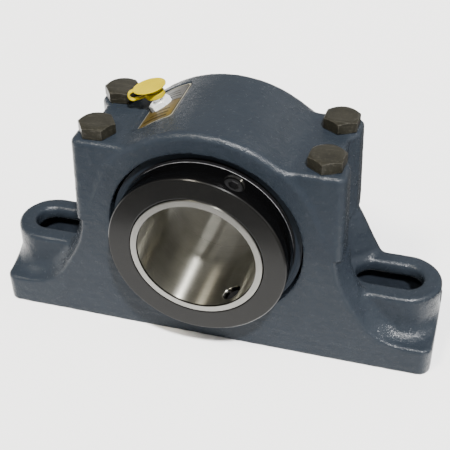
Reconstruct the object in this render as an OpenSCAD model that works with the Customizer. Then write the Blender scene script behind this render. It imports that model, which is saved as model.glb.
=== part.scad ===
// Split pillow block with a self-aligning double-row tapered roller insert.
// Millimetres. The origin is the middle of the underside; +X runs along the
// feet, +Y along the shaft and +Z up. The front collar faces -Y.

/* [Base] */
// Length over both feet
base_l = 292.1; // [240:0.1:360]
// Width of the underside
base_w = 70; // [60:0.5:100]
// Height of the shaft axis over the underside
axis_h = 82.55; // [75:0.05:110]
// Height of the flat flange round the feet
flange_h = 21; // [12:0.5:30]
// Corner radius of the flange
flange_r = 8; // [2:0.5:20]
// Height of the bolting pads
pad_h = 50; // [35:0.5:60]
// Width of the bolting pads
pad_w = 46.6; // [36:0.2:60]
// Thickness of the top wall of the hollow feet
pad_wall = 11; // [6:0.5:20]

/* [Foot slots] */
// Width of each slot
slot_w = 22.2; // [14:0.1:30]
// Length of each slot over its round ends
slot_l = 43; // [24:0.5:60]
// Distance between the slot middles
slot_pitch = 223.5; // [180:0.5:260]

/* [Cap] */
// Width of the cap over its machined faces
cap_w = 76.2; // [66:0.1:100]
// Outside radius of the dome
dome_r = 75.5; // [70:0.1:95]
// Rounding of the dome's front rim
dome_round = 4.5; // [1:0.1:8]
// Rounding of the dome's rear rim
rear_round = 1; // [0.5:0.1:4]
// Height of the bolt seats over the underside
boss_top = 140.5; // [110:0.1:150]
// Bolt distance from the middle, along the feet
bolt_x = 71.1; // [66:0.1:90]
// Bolt distance from the middle, along the shaft
bolt_y = 22.55; // [15:0.05:32]
// Shank radius of the cap bolts
bolt_r = 6.35; // [4:0.05:8]
// Width across flats of the bolt heads
bolt_af = 20.8; // [16:0.1:26]
// Height of the bolt heads
bolt_head = 7.9; // [6:0.1:14]

/* [Seat] */
// Radius of the spherical seat
seat_r = 65; // [60:0.1:70]
// Radius of the openings in both faces
open_r = 62.2; // [55:0.1:66]

/* [Inner ring and collars] */
// Shaft bore radius
bore_r = 37.306; // [30:0.001:40]
// Outside radius of the ring ends
ring_r = 41.68; // [38:0.01:46]
// Length of the inner ring
ring_l = 112.4; // [100:0.1:130]
// Outside radius of the locking collars
collar_r = 56.5; // [50:0.1:60]
// Distance from the middle to the collar back
collar_in = 37.2; // [34:0.1:44]
// Distance from the middle to the collar face
collar_out = 55.7; // [48:0.1:60]
// Distance from the middle to the set screws
screw_y = 45.4; // [42:0.1:52]
// Angle of the first set screw from the top
screw_a = 23.2; // [0:0.1:90]
// Angle between the set screws
screw_step = 125; // [60:1:180]
// Set screw radius
screw_r = 6; // [3:0.1:8]

/* [Rollers] */
// Rollers in each row
roller_n = 22; // [12:1:23]
// Half angle of the inner raceways
race_in = 8.5; // [4:0.1:14]
// Inner raceway radius beside the middle rib
race_r = 45.2; // [43:0.1:48]
// Roller length
roller_l = 20; // [12:0.5:22]

/* [Grease fitting] */
// Place of the fitting round the dome, from the top
fit_a = 33.5; // [0:0.1:60]
// Place of the fitting along the shaft
fit_y = 11; // [-20:0.1:20]
// Lean of the nipple above its bend, from the vertical
fit_lean = 14; // [0:0.5:45]
// Turn of the hexagon about its own axis
hex_a = 18; // [0:0.5:60]
// Direction of the cap strap round the nipple
strap_a = 202; // [0:0.1:360]

/* [Hidden] */
$fn = 96;

half_l = base_l / 2;
half_w = base_w / 2;
half_c = cap_w / 2;
slot_x = slot_pitch / 2;
pad_r = pad_w / 2;
pad_x = half_l - 0.85 - pad_r;
cove_r = half_w - pad_r;
// the fitting's hexagon stands on the dome at fit_b; its nipple bends upright at fit_k
fit_r = dome_r - 2;
fit_b = [-fit_r * sin(fit_a), fit_y, axis_h + fit_r * cos(fit_a)];
fit_k = fit_b + 6.8 * [-sin(fit_a), 0, cos(fit_a)];

// edge of the front and the rear face of the base, from the flange up to the parting
flare = [[60, 0], [118, 0], [118, flange_h - 1], [113.6, flange_h + 0.4], [110.4, 23.4], [107, 26.8],
         [103.6, 31], [98.2, 39], [92.8, 48.4], [88.8, 56], [85.6, 63.6], [83.2, 72], [82, axis_h], [60, axis_h]];
flare_r = [[60, 0], [118, 0], [118, flange_h - 1], [114.5, flange_h + 0.4], [111, 24], [107, 30], [103, 37], [99, 44],
           [95.7, 50.3], [90.8, 59.7], [86, 69.8], [81.3, 78.4], [79, axis_h], [60, axis_h]];
rib_t = 26.7;

// raceway geometry: both raceways and the rollers share one apex on the axis
apex = race_r / tan(race_in);
race_out = atan(55.6 / apex);
roll_a = (race_in + race_out) / 2;
roll_g = (race_out - race_in) / 2;
roll_2 = (apex - 1.62) / cos(roll_a) - 0.4;
roll_1 = roll_2 - roller_l;
function in_r(y) = race_r - (y - 4) * tan(race_in);
function out_r(y) = 55.6 - (y - 4) * tan(race_out);
function roll_y(d) = 4 + apex - d * cos(roll_a);
function roll_r(d) = d * sin(roll_a);

// child +z along the shaft, rings turn about the shaft axis
module on_axis() { translate([0, 0, axis_h]) rotate([-90, 0, 0]) children(); }

// child +z radially outward at angle a from the top, at y along the shaft
module radial(y, a) { translate([0, y, axis_h]) rotate([0, a, 0]) children(); }

// child +z along the fitting's hexagon, and along its nipple
module on_hex() { translate(fit_b) rotate([0, -fit_a, 0]) children(); }
module on_nipple() { translate(fit_k) rotate([0, -fit_lean, 0]) children(); }

// plain ring about the shaft axis from y0 to y1
module ring(y0, y1, ro, ri) {
    on_axis() translate([0, 0, y0]) difference() {
        cylinder(h = y1 - y0, r = ro);
        translate([0, 0, -1]) cylinder(h = y1 - y0 + 2, r = ri);
    }
}

// box with round corners in plan
module rbox(l, w, h, r) {
    translate([-l / 2 + r, -w / 2, 0]) cube([l - 2 * r, w, h]);
    translate([-l / 2, -w / 2 + r, 0]) cube([l, w - 2 * r, h]);
    for (x = [-1, 1], y = [-1, 1])
        translate([x * (l / 2 - r), y * (w / 2 - r), 0]) cylinder(h = h, r = r, $fn = 48);
}

// prism that leaves the dome left of the top, with the plate's outline grown by m
module patch(m) {
    radial(0, -31) translate([0, 0, 60]) linear_extrude(30)
        polygon([[13.5 + m, -11.1 - m], [11.9 + m, -12.7 - m], [-11.5 - m, -16.1 - m], [-12.9 - m, -15.1 - m],
                 [-12.9 - m, 27.9 + m], [-11.3 - m, 29.5 + m], [11.9 + m, 29.5 + m], [13.5 + m, 27.9 + m]]);
}

// room for the insert: spherical seat and the two round openings
module insert_room() {
    translate([0, 0, axis_h]) sphere(r = seat_r, $fn = 144);
    on_axis() translate([0, 0, -60]) cylinder(h = 120, r = open_r, $fn = 144);
}

module at_bolts() {
    for (x = [-1, 1], y = [-1, 1]) translate([x * bolt_x, y * bolt_y, 0]) children();
}

// one foot on the +X side
module foot() {
    translate([60, -pad_r, 0]) cube([pad_x - 60, pad_w, pad_h]);
    translate([pad_x, 0, 0]) cylinder(h = pad_h, r = pad_r);
    // coves between the pad and the flange, along both sides
    for (s = [-1, 1]) difference() {
        translate([80, s > 0 ? pad_r : -half_w, flange_h - 1]) cube([pad_x - 80, cove_r, cove_r + 1]);
        translate([79, s * half_w, flange_h + cove_r]) rotate([0, 90, 0])
            cylinder(h = pad_x - 78, r = cove_r);
    }
    // cove round the end of the pad
    intersection() {
        translate([0, 0, flange_h - 1]) rbox(base_l, base_w, cove_r + 1, flange_r);
        translate([pad_x, 0, flange_h - 1]) difference() {
            cylinder(h = cove_r + 1, r = half_w);
            translate([0, 0, cove_r + 1]) rotate_extrude() translate([half_w, 0]) circle(r = cove_r);
        }
    }
}

// leaning faces of the base: they draw in towards the underside
module leaning() {
    translate([-150, 0, 0]) rotate([90, 0, 90]) linear_extrude(300)
        polygon([[-half_w, 0], [half_w, 0], [half_c, axis_h], [-half_c, axis_h]]);
}

// rib on the +X side of the front face: flush with it, the outer side slants back
module rib(f) intersection() {
    translate([0, -12, 0]) rotate([90, 0, 0]) linear_extrude(28)
        polygon([for (p = f) [p[0] + 6.6, p[1]]]);
    rotate([0, 0, -rib_t]) rotate([90, 0, 0]) linear_extrude(320, center = true)
        polygon([for (p = f) [p[0] * cos(rib_t) + 36.3 * sin(rib_t), p[1]]]);
    rotate([0, 0, 45]) rotate([90, 0, 0]) linear_extrude(320, center = true)
        polygon([for (p = f) [(p[0] + 7 - 21) * cos(45), p[1]]]);
    leaning();
}

module housing_base() color("slategray") difference() {
    union() {
        rbox(base_l, base_w, flange_h, flange_r);
        foot();
        mirror([1, 0, 0]) foot();
        for (x = [0, 1]) mirror([x, 0, 0]) {
            rib(flare);
            mirror([0, 1, 0]) rib(flare_r);
        }
        // saddle under the insert
        intersection() {
            translate([0, 60, 0]) rotate([90, 0, 0]) linear_extrude(120)
                polygon([[-90, 0], [90, 0], [84, pad_h], [78.2, axis_h], [-78.2, axis_h], [-84, pad_h]]);
            leaning();
        }
    }
    insert_room();
    // bolt slots and the hollow under each pad
    for (s = [-1, 1]) {
        translate([s * slot_x - (slot_l - slot_w) / 2, -slot_w / 2, pad_h - 25])
            cube([slot_l - slot_w, slot_w, 40]);
        for (e = [-1, 1]) translate([s * slot_x + e * (slot_l - slot_w) / 2, 0, pad_h - 25])
            cylinder(h = 40, r = slot_w / 2);
        translate([s * 111.2, 0, -1]) rbox(53.6, 35, pad_h - pad_wall + 1, 9);
    }
    at_bolts() translate([0, 0, 46]) cylinder(h = 60, r = bolt_r + 0.1);
    for (s = [-1, 1]) translate([s * bolt_x, 0, axis_h - 8.5]) cylinder(h = 20, r = 3.05, $fn = 48);
}

// radius of a bolt column at its foot; the rear columns are a little slimmer
function col_r(s) = s > 0 ? 13.9 : 14.9;

module housing_cap() color("slategray") difference() {
    union() {
        // dome with rounded rims, the rear one nearly sharp
        on_axis() rotate_extrude($fn = 144) union() {
            translate([0, -half_c]) square([dome_r - dome_round, cap_w]);
            translate([0, -half_c + dome_round]) square([dome_r - rear_round, cap_w - dome_round]);
            translate([0, -half_c + dome_round]) square([dome_r, cap_w - dome_round - rear_round]);
            translate([dome_r - dome_round, -half_c + dome_round]) circle(r = dome_round, $fn = 48);
            translate([dome_r - rear_round, half_c - rear_round]) circle(r = rear_round, $fn = 48);
        }
        // bolt columns with a slight draft
        for (x = [-1, 1], s = [-1, 1]) translate([x * bolt_x, s * bolt_y, axis_h]) {
            cylinder(h = boss_top - 2 - axis_h, r1 = col_r(s), r2 = col_r(s) - 1.2);
            translate([0, 0, boss_top - 2 - axis_h]) cylinder(h = 2, r1 = col_r(s) - 1.2, r2 = col_r(s) - 2.9);
        }
        // squarer outer corner of each column
        for (s = [-1, 1]) intersection() {
            rotate([90, 0, 0]) linear_extrude(100, center = true)
                polygon([[-bolt_x - col_r(s), axis_h], [bolt_x + col_r(s), axis_h], [bolt_x + col_r(s) - 1.2, boss_top - 2],
                         [bolt_x + col_r(s) - 2.9, boss_top], [-bolt_x - col_r(s) + 2.9, boss_top],
                         [-bolt_x - col_r(s) + 1.2, boss_top - 2]]);
            rotate([90, 0, 90]) linear_extrude(200, center = true)
                polygon([[s * bolt_y, axis_h], [s * (bolt_y + 15), axis_h], [s * (bolt_y + 13.7), boss_top - 2],
                         [s * (bolt_y + 12), boss_top], [s * bolt_y, boss_top]]);
            translate([0, 0, axis_h]) rbox(2 * (bolt_x + col_r(s)), 2 * (bolt_y + 15), boss_top - axis_h, 8);
        }
        for (s = [0, 1]) mirror([s, 0, 0]) {
            // block between the columns and the dome
            translate([38, 0, 0]) rotate([90, 0, 90]) linear_extrude(bolt_x - 38)
                polygon([[-bolt_y - 15, axis_h], [bolt_y + 15, axis_h],
                         [bolt_y + 13.7, boss_top - 2], [bolt_y + 12, boss_top],
                         [-bolt_y - 12, boss_top], [-bolt_y - 13.7, boss_top - 2]]);
            translate([60, -bolt_y, axis_h]) cube([78.2 - 60, 2 * bolt_y, boss_top - axis_h]);
        }
    }
    translate([-200, -200, -1]) cube([400, 400, axis_h + 1]);
    insert_room();
    at_bolts() translate([0, 0, 40]) cylinder(h = 140, r = bolt_r + 0.4);
    for (s = [-1, 1]) translate([s * bolt_x, 0, axis_h - 1]) cylinder(h = 9.5, r = 3.05, $fn = 48);
    radial(0, 0) translate([0, 0, 60]) cylinder(h = 11.5, r = 3.05, $fn = 48);
    // shallow recess for the plate
    difference() {
        patch(0.8);
        on_axis() translate([0, 0, -60]) cylinder(h = 120, r = dome_r - 1.3, $fn = 144);
    }
    // spot face, thread and duct for the fitting
    on_hex() translate([0, 0, -0.05]) cylinder(h = 20, r = 8.2, $fn = 64);
    on_hex() translate([0, 0, -20]) cylinder(h = 21, r = 4.9, $fn = 64);
}

// hex bolt, its seat at z = 0
module bolt() {
    translate([0, 0, 0.5]) intersection() {
        cylinder(h = bolt_head - 0.5, r = bolt_af / 2 / cos(30), $fn = 6);
        cylinder(h = bolt_head - 0.5, r1 = bolt_af / 2 + 13.4, r2 = bolt_af / 2 - 0.5);
    }
    cylinder(h = 0.6, r = bolt_af / 2 - 0.3);
    translate([0, 0, -86]) cylinder(h = 86.1, r = bolt_r);
    translate([0, 0, -87.2]) cylinder(h = 1.3, r1 = bolt_r - 1.2, r2 = bolt_r);
}

module cap_bolts() color("darkolivegreen") {
    translate([bolt_x, -bolt_y, boss_top]) rotate([0, 0, 26]) bolt();
    translate([bolt_x, bolt_y, boss_top]) rotate([0, 0, 29]) bolt();
    translate([-bolt_x, -bolt_y, boss_top]) rotate([0, 0, 4]) bolt();
    translate([-bolt_x, bolt_y, boss_top]) rotate([0, 0, 6]) bolt();
}

module dowel_pins() color("silver")
    for (s = [-1, 1]) translate([s * bolt_x, 0, axis_h - 8]) cylinder(h = 16, r = 3, $fn = 48);

module anti_rotation_pin() color("silver")
    radial(0, 0) translate([0, 0, 61.2]) cylinder(h = 10, r = 3, $fn = 48);

module nameplate() color("goldenrod") difference() {
    intersection() {
        patch(0);
        ring(-40, 40, dome_r - 0.4, dome_r - 1.25);
    }
    on_hex() translate([0, 0, -20]) cylinder(h = 60, r = 8.3, $fn = 64);
}

// angle nipple: threaded hexagon on the dome, nipple bent nearly upright
module grease_fitting() color("lightgray") difference() {
    union() {
        on_hex() {
            translate([0, 0, -8]) cylinder(h = 9, r = 4.8, $fn = 64);
            intersection() {
                rotate([0, 0, hex_a]) cylinder(h = 4.9, r = 7.7, $fn = 6);
                cylinder(h = 4.9, r1 = 14.2, r2 = 6.7, $fn = 64);
            }
            cylinder(h = 0.6, r = 7.2, $fn = 64);
            translate([0, 0, 4]) cylinder(h = 2.8, r = 3.05, $fn = 64);
        }
        on_nipple() {
            sphere(r = 3.46, $fn = 64);
            cylinder(h = 5, r = 3.3, $fn = 64);
            translate([0, 0, 5]) cylinder(h = 0.6, r1 = 3.3, r2 = 3.9, $fn = 64);
            translate([0, 0, 5.6]) cylinder(h = 0.8, r = 3.9, $fn = 64);
            translate([0, 0, 6.4]) cylinder(h = 0.9, r1 = 3.9, r2 = 2.4, $fn = 64);
        }
    }
    on_hex() translate([0, 0, -9]) cylinder(h = 16.4, r = 1.2, $fn = 48);
    on_nipple() {
        translate([0, 0, -0.5]) cylinder(h = 6.5, r = 1.5, $fn = 48);
        translate([0, 0, 5.9]) cylinder(h = 1, r1 = 1.5, r2 = 0.8, $fn = 48);
        translate([0, 0, 6.6]) cylinder(h = 3, r = 0.85, $fn = 48);
    }
}

module check_ball() color("silver") on_nipple() translate([0, 0, 5.5]) sphere(r = 1.2, $fn = 48);

module check_spring() color("silver") on_nipple() translate([0, 0, 0.5])
    linear_extrude(height = 3.6, twist = -360 * 4, slices = 64, $fn = 16) translate([0.9, 0]) circle(r = 0.24, $fn = 8);

// lid, skirt, strap and ring in one moulding
module fitting_cap() color("gold") on_nipple() rotate([0, 0, strap_a]) difference() {
    union() {
        translate([0, 0, 0.9]) cylinder(h = 3.7, r = 6.3, $fn = 72);
        translate([0, 0, 5.2]) cylinder(h = 3.3, r = 5.3, $fn = 72);
        translate([2, 0, 8.2]) cylinder(h = 0.7, r = 10.8, $fn = 72);
        translate([2, 0, 8.9]) cylinder(h = 0.4, r1 = 10.8, r2 = 10.2, $fn = 72);
        // strap: two short legs joined by a half ring
        translate([4.5, -1.6, 2.3]) cube([8.8, 3.2, 1.4]);
        translate([9, -1.6, 7.8]) cube([4.3, 3.2, 1.4]);
        translate([13.3, 1.6, 5.75]) rotate([90, 0, 0]) intersection() {
            difference() {
                cylinder(h = 3.2, r = 3.45, $fn = 72);
                translate([0, 0, -1]) cylinder(h = 6, r = 2.05, $fn = 72);
            }
            translate([-0.01, -10, -1]) cube([10, 20, 6]);
        }
    }
    translate([0, 0, 0]) cylinder(h = 5, r = 3.6, $fn = 72);
    translate([0, 0, 4.7]) cylinder(h = 2.8, r = 4.2, $fn = 72);
}

module bearing_cartridge() color("dimgray") difference() {
    on_axis() rotate_extrude($fn = 144) difference() {
        union() {
            intersection() {
                circle(r = seat_r - 0.1, $fn = 144);
                translate([58.8, -19.2]) square([20, 38.4]);
            }
            translate([58.8, -33]) square([2, 66]);
        }
        for (s = [-1, 1]) translate([58, s * 28.05 - 1.05]) square([1.75, 2.1]);
        translate([63.6, -2.5]) square([10, 5]);
    }
    for (a = [80, 200, 320]) radial(0, a) translate([0, 0, 50]) cylinder(h = 20, r = 1.8, $fn = 32);
    // slot for the anti-rotation pin, long enough for the tilt
    for (s = [-1, 1]) radial(s * 2.7, 0) translate([0, 0, 60.6]) cylinder(h = 8, r = 3.3, $fn = 48);
    radial(0, 0) translate([-3.3, -2.7, 60.6]) cube([6.6, 5.4, 8]);
}

module cup() {
    on_axis() rotate_extrude($fn = 144)
        polygon([[58.78, -27], [58.78, -3], [out_r(3), -3], [out_r(27), -27]]);
}
module front_cup() color("lightsteelblue") cup();
module rear_cup() color("lightsteelblue") mirror([0, 1, 0]) cup();

module cup_spacer() color("silver") difference() {
    ring(-2.95, 2.95, 58.78, 56.2);
    for (a = [80, 200, 320]) radial(0, a) translate([0, 0, 50]) cylinder(h = 20, r = 1.5, $fn = 32);
}

module retaining_ring() difference() {
    ring(-29, -27.1, 59.7, 55.2);
    radial(-28, 180) translate([-2, -2, 50]) cube([4, 4, 20]);
}
module front_retaining_ring() color("gray") retaining_ring();
module rear_retaining_ring() color("gray") mirror([0, 1, 0]) retaining_ring();

module seal() {
    on_axis() rotate_extrude($fn = 144)
        polygon([[58.75, -32.9], [58.75, -29.3], [57.2, -29.3], [57.2, -31.5], [45.5, -31.5],
                 [43.6, -29.6], [42.2, -29.9], [42, -30.4], [43.2, -32.9]]);
}
module front_seal() color("darkslategray") seal();
module rear_seal() color("darkslategray") mirror([0, 1, 0]) seal();

module inner_ring() color("lightgray") difference() {
    on_axis() rotate_extrude($fn = 144)
        polygon([[bore_r, -ring_l / 2 + 0.5], [bore_r + 0.5, -ring_l / 2],
                 [ring_r - 0.4, -ring_l / 2], [ring_r, -ring_l / 2 + 0.4],
                 [ring_r, -26.9], [in_r(26.9), -26.9], [in_r(4.4), -4.4], [50, -4.4],
                 [50, 4.4], [in_r(4.4), 4.4], [in_r(26.9), 26.9], [ring_r, 26.9],
                 [ring_r, ring_l / 2 - 0.4], [ring_r - 0.4, ring_l / 2],
                 [bore_r + 0.5, ring_l / 2], [bore_r, ring_l / 2 - 0.5]]);
    for (y = [-screw_y, screw_y], i = [0, 1]) radial(y, screw_a + i * screw_step)
        translate([0, 0, 30]) cylinder(h = 20, r = 5.6, $fn = 64);
}

module collar() difference() {
    on_axis() rotate_extrude($fn = 144)
        polygon([[42.1, -collar_in], [42.1, -collar_out + 0.7], [42.8, -collar_out],
                 [collar_r - 1.2, -collar_out], [collar_r, -collar_out + 1.2],
                 [collar_r, -collar_in - 0.6], [collar_r - 0.6, -collar_in]]);
    for (i = [0, 1]) radial(-screw_y, screw_a + i * screw_step)
        translate([0, 0, 38]) cylinder(h = 30, r = screw_r + 0.05, $fn = 64);
}
module front_collar() color("black") collar();
module rear_collar() color("black") mirror([0, 1, 0]) collar();

module set_screws() for (i = [0, 1]) radial(-screw_y, screw_a + i * screw_step) difference() {
    union() {
        translate([0, 0, 39.6]) cylinder(h = 4, r = 5.2, $fn = 64);
        translate([0, 0, 42.6]) cylinder(h = 11.2, r = screw_r - 0.05, $fn = 64);
        translate([0, 0, 53.8]) cylinder(h = 0.8, r1 = screw_r - 0.05, r2 = screw_r - 0.85, $fn = 64);
    }
    translate([0, 0, 48]) cylinder(h = 10, r = 3.46, $fn = 6);
}
module front_set_screws() color("dimgray") set_screws();
module rear_set_screws() color("dimgray") mirror([0, 1, 0]) set_screws();

module flinger() {
    on_axis() rotate_extrude($fn = 144)
        polygon([[ring_r + 0.04, -37.1], [ring_r + 0.04, -34.6], [43, -34.6], [43, -35.9],
                 [54.8, -35.9], [54.8, -33.7], [56.2, -33.7], [56.2, -37.1]]);
}
module front_flinger() color("black") flinger();
module rear_flinger() color("black") mirror([0, 1, 0]) flinger();

// every roller of one row, extra widens them for the cage pockets
module roller_row(extra, longer) {
    for (i = [0:roller_n - 1]) translate([0, 0, axis_h]) rotate([0, i * 360 / roller_n, 0])
        translate([0, -roll_y(roll_1 - longer), roll_r(roll_1 - longer)]) rotate([roll_a - 90, 0, 0])
            cylinder(h = roller_l + 2 * longer, r1 = roll_1 * tan(roll_g) + extra,
                     r2 = roll_2 * tan(roll_g) + extra, $fn = 40);
}

module cage() difference() {
    on_axis() rotate_extrude($fn = 144)
        polygon([[roll_r(roll_1 - 2.8) + 0.4, -roll_y(roll_1 - 2.8)],
                 [roll_r(roll_2 + 3) + 0.4, -roll_y(roll_2 + 3)],
                 [roll_r(roll_2 + 3) + 2, -roll_y(roll_2 + 3)],
                 [roll_r(roll_1 - 2.8) + 2, -roll_y(roll_1 - 2.8)]]);
    roller_row(0.25, 0.3);
}
module front_cage() color("goldenrod") cage();
module rear_cage() color("goldenrod") mirror([0, 1, 0]) cage();

module front_rollers() color("silver") roller_row(-0.1, 0);
module rear_rollers() color("silver") mirror([0, 1, 0]) roller_row(-0.1, 0);

housing_base();
housing_cap();
cap_bolts();
dowel_pins();
anti_rotation_pin();
nameplate();
grease_fitting();
check_ball();
check_spring();
fitting_cap();
bearing_cartridge();
front_cup();
rear_cup();
cup_spacer();
front_retaining_ring();
rear_retaining_ring();
front_seal();
rear_seal();
inner_ring();
front_collar();
rear_collar();
front_set_screws();
rear_set_screws();
front_flinger();
rear_flinger();
front_cage();
rear_cage();
front_rollers();
rear_rollers();
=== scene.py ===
import math

import bmesh
import bpy
import numpy as np
from mathutils import Matrix, Vector


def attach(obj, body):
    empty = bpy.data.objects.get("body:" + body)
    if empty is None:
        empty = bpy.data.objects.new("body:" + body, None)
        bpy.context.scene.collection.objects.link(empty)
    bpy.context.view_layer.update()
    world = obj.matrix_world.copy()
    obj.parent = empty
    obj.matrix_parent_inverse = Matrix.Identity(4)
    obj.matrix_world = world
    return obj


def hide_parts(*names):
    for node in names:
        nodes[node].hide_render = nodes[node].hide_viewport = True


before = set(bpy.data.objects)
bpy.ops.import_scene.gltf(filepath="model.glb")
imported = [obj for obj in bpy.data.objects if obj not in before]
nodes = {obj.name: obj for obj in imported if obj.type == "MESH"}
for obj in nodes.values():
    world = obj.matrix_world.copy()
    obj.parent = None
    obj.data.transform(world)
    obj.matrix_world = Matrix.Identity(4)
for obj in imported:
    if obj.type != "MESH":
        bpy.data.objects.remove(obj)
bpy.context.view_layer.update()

# Everything below is worked out in millimetres in the CAD frame and written to
# Blender in metres: +X along the feet, +Y along the shaft, +Z up.
MM = 0.001
AXIS = 82.55
COL = bpy.context.scene.collection
RNG = np.random.default_rng(7)


# ---------------------------------------------------------------- mesh helpers
def new_object(name, verts, faces, smooth=True):
    me = bpy.data.meshes.new(name)
    me.from_pydata([tuple(v) for v in np.asarray(verts, float) * MM], [], [tuple(int(i) for i in f) for f in faces])
    me.validate()
    if smooth:
        me.shade_smooth()
    ob = bpy.data.objects.new(name, me)
    COL.objects.link(ob)
    return ob


def quad_object(name, verts, quads):
    """Large all-quad meshes, written straight into the mesh arrays."""
    me = bpy.data.meshes.new(name)
    v = (np.asarray(verts) * MM).astype(np.float32)
    q = np.asarray(quads, np.int32)
    me.vertices.add(len(v))
    me.vertices.foreach_set("co", v.ravel())
    me.loops.add(q.size)
    me.loops.foreach_set("vertex_index", q.ravel())
    me.polygons.add(len(q))
    me.polygons.foreach_set("loop_start", np.arange(0, q.size, 4, dtype=np.int32))
    me.update(calc_edges=True)
    me.validate()
    me.shade_smooth()
    ob = bpy.data.objects.new(name, me)
    COL.objects.link(ob)
    return ob


def sharpen(ob, angle=32.0):
    me = ob.data
    me.shade_smooth()
    me.set_sharp_from_angle(angle=math.radians(angle))
    return ob


def apply_mods(ob):
    dg = bpy.context.evaluated_depsgraph_get()
    dg.update()
    me = bpy.data.meshes.new_from_object(ob.evaluated_get(dg))
    ob.modifiers.clear()
    old = ob.data
    ob.data = me
    bpy.data.meshes.remove(old)
    return ob


def cut(ob, cutters):
    for c in cutters:
        m = ob.modifiers.new("cut", "BOOLEAN")
        m.operation = "DIFFERENCE"
        m.solver = "EXACT"
        m.object = c
        apply_mods(ob)
    for c in cutters:
        me = c.data
        bpy.data.objects.remove(c)
        bpy.data.meshes.remove(me)
    return ob


def bevel(ob, width, segments=2, angle=30.0):
    m = ob.modifiers.new("edge", "BEVEL")
    m.width = width * MM
    m.segments = segments
    m.limit_method = "ANGLE"
    m.angle_limit = math.radians(angle)
    m.harden_normals = False
    return apply_mods(ob)


def lathe(name, profile, n=192, closed=True, mat4=None):
    """Ring about the shaft axis from (radius, y) points; the outline is closed."""
    prof = np.asarray(profile, float)
    a = np.arange(n) * 2 * math.pi / n
    v = np.stack([
        np.outer(prof[:, 0], np.sin(a)),
        np.repeat(prof[:, 1][:, None], n, 1),
        AXIS + np.outer(prof[:, 0], np.cos(a)),
    ], -1).reshape(-1, 3)
    m = len(prof)
    f = []
    for i in range(m if closed else m - 1):
        j = (i + 1) % m
        for k in range(n):
            l = (k + 1) % n
            f.append((i * n + k, i * n + l, j * n + l, j * n + k))
    ob = new_object(name, v, f)
    fix_normals(ob)
    return ob


def fix_normals(ob):
    bm = bmesh.new()
    bm.from_mesh(ob.data)
    bmesh.ops.recalc_face_normals(bm, faces=bm.faces)
    bm.to_mesh(ob.data)
    bm.free()


def spin_z(name, profile, n=96, hexes=()):
    """Solid of revolution about +z from (radius, z) points, first and last on the axis.
    Rings listed in hexes take a hexagon's outline in place of a circle's."""
    prof = np.asarray(profile, float)
    a = (np.arange(n) + 0.0) * 2 * math.pi / n
    hexr = 1.0 / np.cos(a % (math.pi / 3) - math.pi / 6)
    v, rings = [], []
    for i, (r, z) in enumerate(prof):
        if r <= 1e-6:
            rings.append([len(v)])
            v.append((0, 0, z))
            continue
        rr = r * (hexr if i in hexes else np.ones(n))
        rings.append(list(range(len(v), len(v) + n)))
        v += list(zip(rr * np.cos(a), rr * np.sin(a), np.full(n, z)))
    f = []
    for p, q in zip(rings[:-1], rings[1:]):
        for k in range(n):
            l = (k + 1) % n
            if len(p) == 1:
                f.append((p[0], q[l], q[k]))
            elif len(q) == 1:
                f.append((p[k], p[l], q[0]))
            else:
                f.append((p[k], p[l], q[l], q[k]))
    ob = new_object(name, v, f)
    fix_normals(ob)
    return ob


def place(ob, matrix):
    """Moves the vertices, so that the object itself stays at the origin."""
    m = matrix.copy()
    m.translation = m.translation * MM
    ob.data.transform(m)
    if m.determinant() < 0:
        ob.data.flip_normals()
    return ob


def join(name, obs):
    bm = bmesh.new()
    for o in obs:
        bm.from_mesh(o.data)
    me = bpy.data.meshes.new(name)
    bm.to_mesh(me)
    bm.free()
    for o in obs:
        d = o.data
        bpy.data.objects.remove(o)
        bpy.data.meshes.remove(d)
    me.shade_smooth()
    ob = bpy.data.objects.new(name, me)
    COL.objects.link(ob)
    return ob


# ------------------------------------------------- distance fields for castings
def smin(a, b, k):
    h = np.maximum(k - np.abs(a - b), 0) / k
    return np.minimum(a, b) - h * h * k * 0.25


def smax(a, b, k):
    return -smin(-a, -b, k)


def rect2(x, y, hx, hy, r):
    qx, qy = np.abs(x) - hx + r, np.abs(y) - hy + r
    return np.hypot(np.maximum(qx, 0), np.maximum(qy, 0)) + np.minimum(np.maximum(qx, qy), 0) - r


def both(a, b, e):
    """Overlap of two fields with the edge between them rounded to radius e."""
    a, b = a + e, b + e
    return np.minimum(np.maximum(a, b), 0) + np.hypot(np.maximum(a, 0), np.maximum(b, 0)) - e


WAVES = [(RNG.normal(size=3) * s, RNG.uniform(0, 6.28), w)
         for s, w in [(0.10, 0.34), (0.10, 0.34), (0.17, 0.3), (0.17, 0.3), (0.3, 0.2), (0.3, 0.2), (0.45, 0.16), (0.45, 0.16)]]


def ripple(x, y, z):
    """Slow unevenness of a sand casting."""
    out = 0
    for k, ph, w in WAVES:
        out = out + w * np.sin(k[0] * x + k[1] * y + k[2] * z + ph)
    return out


def insert_room(x, y, z):
    zz = z - AXIS
    return np.minimum(np.sqrt(x * x + y * y + zz * zz) - 65.0, np.hypot(x, zz) - 62.2)


# edges of the front and the rear face of the base, from the flange up to the parting
FZ = np.linspace(0, 95, 381)


def flare(points):
    pts = np.array(points, float)
    fx = np.interp(FZ, pts[:, 1], pts[:, 0])
    return np.convolve(np.pad(fx, 9, mode="edge"), np.hanning(19) / np.hanning(19).sum(), "valid")


FX = flare([(118, 0), (118, 20), (113.6, 21.4), (110.4, 23.4), (107, 26.8), (103.6, 31), (98.2, 39),
            (92.8, 48.4), (88.8, 56), (85.6, 63.6), (83.2, 72), (82, AXIS), (81.6, 95)])
FXR = flare([(118, 0), (118, 20), (114.5, 21.4), (111, 24), (107, 30), (103, 37), (99, 44), (95.7, 50.3),
             (90.8, 59.7), (86, 69.8), (81.3, 78.4), (79, AXIS), (78.6, 95)])


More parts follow.
